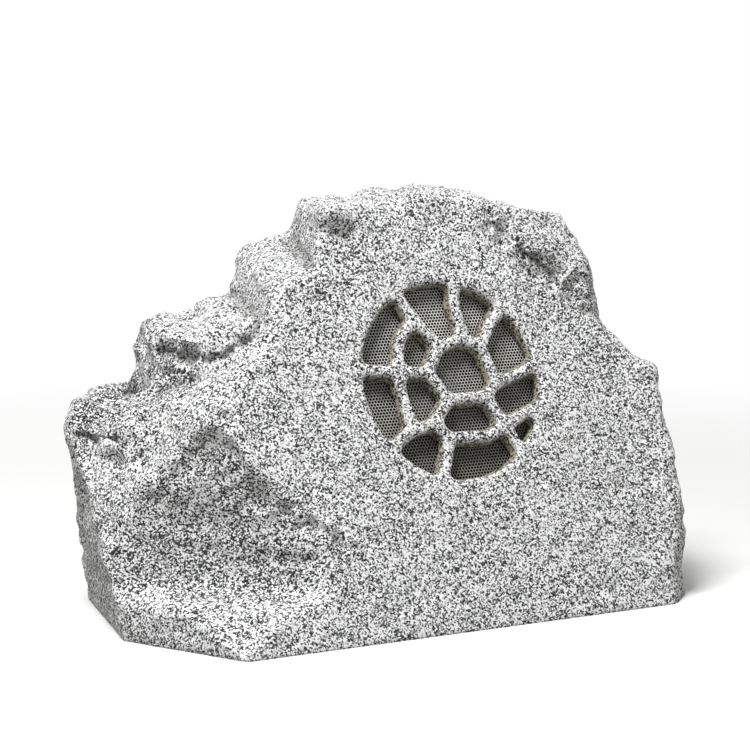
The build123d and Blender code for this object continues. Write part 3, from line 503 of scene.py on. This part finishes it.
# Painted shade: the paint is darker towards the foot of the sheet.
foot_shade = add_node(tree, "MapRange", {"Value": height.outputs["Value"], "From Min": middle + FOOT_SHADE_START,
                                     "From Max": middle + FOOT_SHADE_END})
foot_shaded = add_node(tree, "Mix", {0: foot_shade.outputs[0], 6: tone.outputs[2], 7: linear("#a09e96")},
                data_type="RGBA")
level = add_node(tree, "VectorMath", {0: place, 1: face_out}, operation="DOT_PRODUCT")
top = sheet_middle.dot(face_out) + SHEET / 2
rolled = add_node(tree, "MapRange", {"Value": level.outputs["Value"], "From Min": top - PAINT_EDGE[0],
                                     "From Max": top - PAINT_EDGE[1]})
bare = add_node(tree, "Mix", {0: rolled.outputs[0], 6: linear("#0b0b0b"), 7: foot_shaded.outputs[2]},
                data_type="RGBA")
tree.links.new(bare.outputs[2], shader.inputs["Base Color"])
grille.data.materials.append(paint)
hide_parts("grille_mesh")
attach(grille, "enclosure")


# Driver's gasket: a ring of closed-cell foam between the sheet and the driver, stamped out and
# laid in dry. It is a dull black, slightly glittery where its cut cells are open.
def finish(material, *names):
    """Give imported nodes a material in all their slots."""
    for name in names:
        node = frame["nodes"][name]
        if not node.material_slots:
            node.data.materials.append(material)
        for slot in node.material_slots:
            slot.material = material


def mottled(name, first, second, grain_mm, relief_mm, **constants):
    """A finish with two close tones and a grain of a size and height in millimetres."""
    material, tree, shader, place = new_material(name, **constants)
    grain = add_node(tree, "TexNoise", {"Vector": place, "Scale": 1 / (grain_mm * MM), "Detail": 3.0})
    tone = add_node(tree, "Mix", {0: grain.outputs[0], 6: linear(first), 7: linear(second)},
                    data_type="RGBA")
    tree.links.new(tone.outputs[2], shader.inputs["Base Color"])
    bump = add_node(tree, "Bump", {"Strength": 0.6, "Distance": relief_mm * MM,
                                   "Height": grain.outputs[0]})
    tree.links.new(bump.outputs[0], shader.inputs["Normal"])
    return material


foam = mottled("closed_cell_foam", "#141414", "#2a2a2a", 0.7, 0.25, Roughness=0.95, IOR=1.45)
finish(foam, "driver_gasket")


# Driver's frame: pressed from steel sheet and powder coated, which gives a satin black with an
# orange-peel skin. Its four screws bite into the casting. Their zinc plate is a cloudy silver.
powder_coat = mottled("black_powder_coat", "#161617", "#212122", 1.2, 0.05, Roughness=0.48, IOR=1.5)
zinc = mottled("zinc_plate", "#b4b8ba", "#d2d3cf", 1.5, 0.02, Roughness=0.34, Metallic=1.0)
finish(powder_coat, "driver_frame")
finish(zinc, "driver_screws")


# Cone and roll: an injection-moulded cone of mica-filled polypropylene, a dull black with fine
# rings from the mould, hung in a half roll of soft matt rubber that is glued to the frame.
SPECK = 3.0 * MM


def banded(name, measure, pitch_mm, first, second, relief_mm, **constants):
    """A finish with fine even bands, one every pitch of a distance that measure gives in the tree."""
    material, tree, shader, place = new_material(name, **constants)
    waves = add_node(tree, "Math", {0: measure(tree, place), 1: 2 * pi / (pitch_mm * MM)},
                     operation="MULTIPLY")
    wave = add_node(tree, "Math", {0: waves.outputs[0]}, operation="SINE")
    height = add_node(tree, "MapRange", {"Value": wave.outputs[0], "From Min": -1.0, "From Max": 1.0})
    speck = add_node(tree, "TexNoise", {"Vector": place, "Scale": 1 / SPECK, "Detail": 3.0})
    blend = add_node(tree, "Math", {0: speck.outputs[0], 1: height.outputs[0]}, operation="MULTIPLY")
    tone = add_node(tree, "Mix", {0: blend.outputs[0], 6: linear(first), 7: linear(second)},
                    data_type="RGBA")
    tree.links.new(tone.outputs[2], shader.inputs["Base Color"])
    bump = add_node(tree, "Bump", {"Strength": 0.7, "Distance": relief_mm * MM,
                                   "Height": height.outputs[0]})
    tree.links.new(bump.outputs[0], shader.inputs["Normal"])
    return material


def from_axis(tree, place):
    """Distance from the driver's axis."""
    out = add_node(tree, "VectorMath", {0: place, 1: sheet_middle}, operation="SUBTRACT")
    turned = add_node(tree, "VectorMath", {0: out.outputs[0], 1: face_out}, operation="CROSS_PRODUCT")
    return add_node(tree, "VectorMath", {0: turned.outputs[0]}, operation="LENGTH").outputs["Value"]


def along_axis(tree, place):
    """Distance along the driver's axis."""
    reach = add_node(tree, "VectorMath", {0: place, 1: face_out}, operation="DOT_PRODUCT")
    return reach.outputs["Value"]


cone_plastic = banded("mica_polypropylene", from_axis, 2.4, "#0c0c0d", "#1c1c1e", 0.06,
                      Roughness=0.72, Specular_IOR_Level=0.04)
roll_rubber = mottled("butyl_rubber", "#0c0c0d", "#161617", 2.0, 0.05, Roughness=0.75,
                      Specular_IOR_Level=0.05)
finish(cone_plastic, "woofer_cone")
finish(roll_rubber, "cone_surround")


# Spider and coil: a disc of cotton cloth dipped in phenolic resin, amber and ribbed by its waves,
# dished towards the magnet so that the cone's neck clears it. The coil is bright copper wire,
# wound in fine lines on a tube of clear brown polyimide film. Its lines are drawn coarse to show.
DISH = 2.8 * MM
DISH_INNER, DISH_OUTER = 15.0 * MM, 32.0 * MM
spider = new_piece("spider_cloth", frame["nodes"]["spider"].data.copy())
for vertex in spider.data.vertices:
    out = vertex.co - sheet_middle
    radius = (out - face_out * out.dot(face_out)).length
    vertex.co -= face_out * (DISH * (1 - fade(radius, DISH_INNER, DISH_OUTER)))
cloth = banded("resin_dipped_cloth", from_axis, 0.9, "#8c6326", "#c79a52", 0.12, Roughness=0.8)
film = mottled("polyimide_film", "#7a4a17", "#8f5a20", 4.0, 0.01, Roughness=0.28, IOR=1.7)
winding = banded("enamelled_copper_coil", along_axis, 0.35, "#7d3a1c", "#c8703c", 0.12,
                 Roughness=0.3, Metallic=1.0)
spider.data.materials.clear()
spider.data.materials.append(cloth)
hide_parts("spider")
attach(spider, "enclosure")
finish(film, "coil_former")
finish(winding, "voice_coil")


# Motor: a ring of charcoal ferrite, pressed and fired to a dry, grainy skin, glued between a top
# plate and a yoke of turned steel, whose zinc plating shows the tool's fine bright rings.
ferrite = mottled("fired_ferrite", "#232326", "#343438", 0.8, 0.06, Roughness=0.6, IOR=1.8)
turned_zinc = banded("turned_zinc_plate", from_axis, 0.6, "#a9adb0", "#c9cac6", 0.02,
                     Roughness=0.33, Metallic=1.0)
finish(ferrite, "driver_magnet")
finish(turned_zinc, "top_plate", "pole_yoke")


# Tweeter: a smoky film dome over a warm, nickel-plated magnet in a cup, under a pierced faceplate,
# on a turned post in the pole. Cup and faceplate are moulded in plastic with an eroded satin grain.
moulded_abs = mottled("eroded_black_abs", "#18181a", "#242426", 0.9, 0.08, Roughness=0.55, IOR=1.54)
dome_film = mottled("polymer_dome_film", "#3b3d42", "#4a4c52", 2.5, 0.02, Roughness=0.3, IOR=1.6)
nickel = mottled("nickel_plate", "#aaa69c", "#bfbbb0", 1.2, 0.01, Roughness=0.25, Metallic=1.0)
finish(moulded_abs, "tweeter_cup", "tweeter_faceplate")
finish(dome_film, "tweeter_dome")
finish(nickel, "tweeter_magnet")
finish(turned_zinc, "tweeter_post")


# Tag: a punched strip of paper laminate, dull brown with its fibres showing, riveted to the frame.
# Two blades of stamped brass on it, yellow and a little clouded, take the driver's leads.
laminate = mottled("paper_laminate", "#5b3a20", "#6d4828", 0.8, 0.03, Roughness=0.5, IOR=1.55)
brass = mottled("brass_blade", "#b9924a", "#cfae67", 1.0, 0.01, Roughness=0.3, Metallic=1.0)
finish(laminate, "terminal_tag")
finish(brass, "terminal_lugs")


# Crossover: a board under glossy green resist, striped by its tracks, on four posts of the base
# plate. It carries a coil of copper in layers on a nylon bobbin, a capacitor in yellow film, a
# resistor in chalky cement and a moulded screw terminal.
def up(tree, place):
    """Height above the ground."""
    return add_node(tree, "SeparateXYZ", {0: place}).outputs["Z"]


def along(tree, place):
    """Distance along the board."""
    return add_node(tree, "SeparateXYZ", {0: place}).outputs["X"]


resist = banded("green_solder_resist", along, 3.2, "#0f4a2c", "#1b6a40", 0.03, Roughness=0.35, IOR=1.55)
nylon = mottled("moulded_nylon", "#17171a", "#26262a", 1.6, 0.05, Roughness=0.5, IOR=1.53)
layers = banded("enamelled_copper_layers", up, 0.9, "#7d3a1c", "#cc7742", 0.3,
                Roughness=0.3, Metallic=1.0)
yellow_tape = banded("yellow_film_wrap", along, 6.0, "#b98a12", "#d7a722", 0.02, Roughness=0.35, IOR=1.5)
cement = mottled("cement_ceramic", "#d6d3c8", "#e6e4dc", 0.6, 0.12, Roughness=0.9, IOR=1.55)
green_block = mottled("green_polyamide", "#1f7a3c", "#2b8c49", 1.4, 0.04, Roughness=0.45, IOR=1.53)
finish(resist, "crossover_board")
finish(nylon, "inductor_bobbin")
finish(layers, "inductor_winding")
finish(yellow_tape, "capacitor")
finish(cement, "resistor")
finish(green_block, "input_terminal")
finish(zinc, "board_screws")


# Underside: a ribbed cover of moulded black plastic in a rebate, on a strip of closed-cell foam,
# held by countersunk screws around its edge, whose stainless heads are turned to a soft grey shine.
stainless = mottled("turned_stainless", "#b9babc", "#cfd0d1", 0.5, 0.02, Roughness=0.32, Metallic=1.0)
finish(moulded_abs, "base_plate")
finish(foam, "base_seal")
finish(stainless, "base_screws")


# Cable gland: a six-sided body with a locknut inside and a domed cap outside, moulded in satin
# black nylon, that squeezes a rubber bush, with a matt rubber washer against the flat on the casting.
gland_rubber = mottled("moulded_rubber", "#111112", "#1d1d1e", 1.2, 0.06, Roughness=0.75, IOR=1.52)
finish(nylon, "gland_body", "gland_locknut", "gland_cap")
finish(gland_rubber, "gland_washer", "gland_bush")


# Studio: a wide matt floor, pale near the object and white further off, a soft lamp above and to
# the left of the front, weak ones on the right and behind, and a camera where the photograph was
# taken from. Floor and world are pale where they are seen, and dimmer as a source of light.
FLOOR_RADIUS, FLOOR_SIDES = 60.0, 96
FLOOR_NEAR, FLOOR_FAR = 0.42, 1.1
WORLD_LIGHT, WORLD_SEEN = 0.22, 1.0
LAMP_DISTANCE = 2.4


def seen_straight(tree):
    """1 where the camera sees a surface itself, or in metal or through glass."""
    ray = add_node(tree, "LightPath")
    mirrored = add_node(tree, "Math", {0: ray.outputs["Is Camera Ray"], 1: ray.outputs["Is Glossy Ray"]},
                        operation="MAXIMUM")
    return add_node(tree, "Math", {0: mirrored.outputs[0], 1: ray.outputs["Is Transmission Ray"]},
                    operation="MAXIMUM").outputs[0]


floor_mesh = bpy.data.meshes.new("studio_floor")
disc = bmesh.new()
bmesh.ops.create_circle(disc, cap_ends=True, segments=FLOOR_SIDES, radius=FLOOR_RADIUS)
disc.to_mesh(floor_mesh)
disc.free()
floor = new_piece("studio_floor", floor_mesh)
floor_paint, tree, shader, place = new_material("pale_floor", Roughness=0.9)
spread = add_node(tree, "VectorMath", {0: place}, operation="LENGTH")
far = add_node(tree, "MapRange", {"Value": spread.outputs["Value"], "From Min": FLOOR_NEAR,
                                  "From Max": FLOOR_FAR})
seen = seen_straight(tree)
tint = add_node(tree, "Mix", {0: seen, 6: linear("#8c8c8a"), 7: linear("#f4f4f2")},
                data_type="RGBA")
tree.links.new(tint.outputs[2], shader.inputs["Base Color"])
white_far = add_node(tree, "Math", {0: far.outputs[0], 1: seen}, operation="MULTIPLY")
white = add_node(tree, "Emission", {"Color": linear("#ffffff"), "Strength": 1.0})
blend = add_node(tree, "MixShader", {0: white_far.outputs[0], 1: shader.outputs[0], 2: white.outputs[0]})
tree.links.new(blend.outputs[0], tree.nodes["Material Output"].inputs["Surface"])
floor_mesh.materials.append(floor_paint)

world = bpy.data.worlds.new("studio")
bpy.context.scene.world = world
world.use_nodes = True
tree = world.node_tree
sky = tree.nodes["Background"]
level = add_node(tree, "MapRange", {"Value": seen_straight(tree), "To Min": WORLD_LIGHT,
                                    "To Max": WORLD_SEEN})
sky.inputs["Color"].default_value = linear("#ffffff")
tree.links.new(level.outputs[0], sky.inputs["Strength"])


def stand_off(name, data, target, distance, azimuth, elevation):
    """A lamp or camera at a distance from a target, turned towards it. Angles are in degrees."""
    around, above = radians(azimuth), radians(elevation)
    away = Vector((sin(around) * cos(above), -cos(around) * cos(above), sin(above)))
    holder = bpy.data.objects.new(name, data)
    holder.location = target + away * distance
    holder.rotation_euler = away.to_track_quat("Z", "Y").to_euler()
    bpy.context.collection.objects.link(holder)
    return holder


# Each lamp's azimuth and elevation in degrees, size in metres and power in watts.
for name, azimuth, elevation, size, power in (
    ("key_lamp", -56, 64, 0.8, 60),
    ("fill_lamp", 30, 35, 1.6, 4),
    ("back_lamp", 165, 12, 1.6, 13),
):
    lamp = bpy.data.lights.new(name, "AREA")
    lamp.size = size
    lamp.energy = power
    stand_off(name, lamp, Vector(), LAMP_DISTANCE, azimuth, elevation)

VIEW_AZIMUTH, VIEW_ELEVATION = -30, 8
VIEW_DISTANCE = 1.95
VIEW_MIDDLE = Vector((6.99, -13.81, 158.46)) * MM
VIEW_LENS = 132.2
lens = bpy.data.cameras.new("camera")
lens.lens = VIEW_LENS
camera = stand_off("camera", lens, VIEW_MIDDLE, VIEW_DISTANCE, VIEW_AZIMUTH, VIEW_ELEVATION)
bpy.context.scene.camera = camera
bpy.context.scene.view_settings.view_transform = "Standard"
